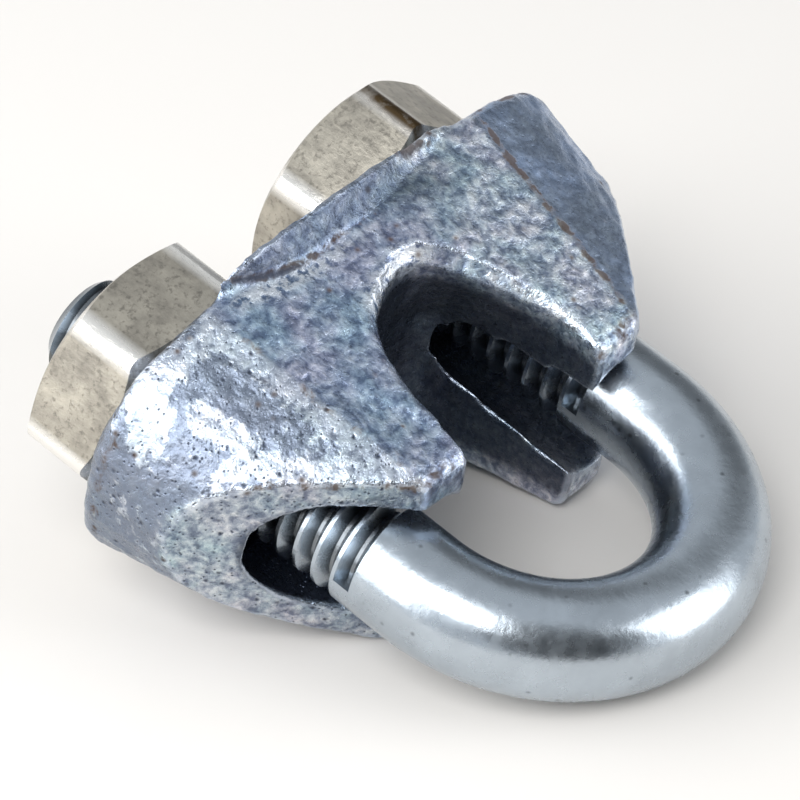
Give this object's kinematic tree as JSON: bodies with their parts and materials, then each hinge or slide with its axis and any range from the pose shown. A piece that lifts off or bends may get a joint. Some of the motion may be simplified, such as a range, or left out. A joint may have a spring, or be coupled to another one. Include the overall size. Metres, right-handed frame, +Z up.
{
  "type": "wire rope clip",
  "caption": "Wire rope clip: a threaded U-bolt, a cast saddle with a rope seat and hexagon nuts that draw the saddle toward the bow; stored lying on its side.",
  "frame": {"origin": "under the middle of the clip as it lies on its side, at the level of the surface it rests on", "axes": "+Z up; the U-bolt's bow points toward -Y, the nuts toward +Y, the left leg lies at -X and the right leg at +X"},
  "size_m": [0.0372, 0.0364, 0.0199],
  "materials": {
    "zinc_rod": "smooth zinc plate",
    "zinc_casting": "rough cast surface, zinc plated",
    "zinc_nut": "fine-grained zinc plate"
  },
  "bodies": {
    "u_bolt": {"u_bolt": "zinc_rod"},
    "saddle": {"saddle": "zinc_casting"},
    "nut_left": {"nut_left": "zinc_nut"},
    "nut_right": {"nut_right": "zinc_nut"}
  },
  "joints": [
    {"name": "saddle_slide", "type": "slide", "parent": "u_bolt", "child": "saddle", "axis": [0, -0.9639, -0.2662], "range_m": [-0.00127, 0.00635]},
    {"name": "nut_left_spin", "type": "hinge", "parent": "saddle", "child": "nut_left", "pos_m": [-0.01025, 0.0103, 0.01016], "axis": [0, -0.9639, -0.2662], "range_deg": [-360, 1800]},
    {"name": "nut_right_spin", "type": "hinge", "parent": "saddle", "child": "nut_right", "pos_m": [0.00905, 0.0103, 0.01016], "axis": [0, -0.9639, -0.2662], "range_deg": [-360, 1800]}
  ],
  "couplings": [
    {"joint": "nut_left_spin", "follows": "saddle_slide", "rad_per_m": 4947.4},
    {"joint": "nut_right_spin", "follows": "saddle_slide", "rad_per_m": 4947.4}
  ]
}
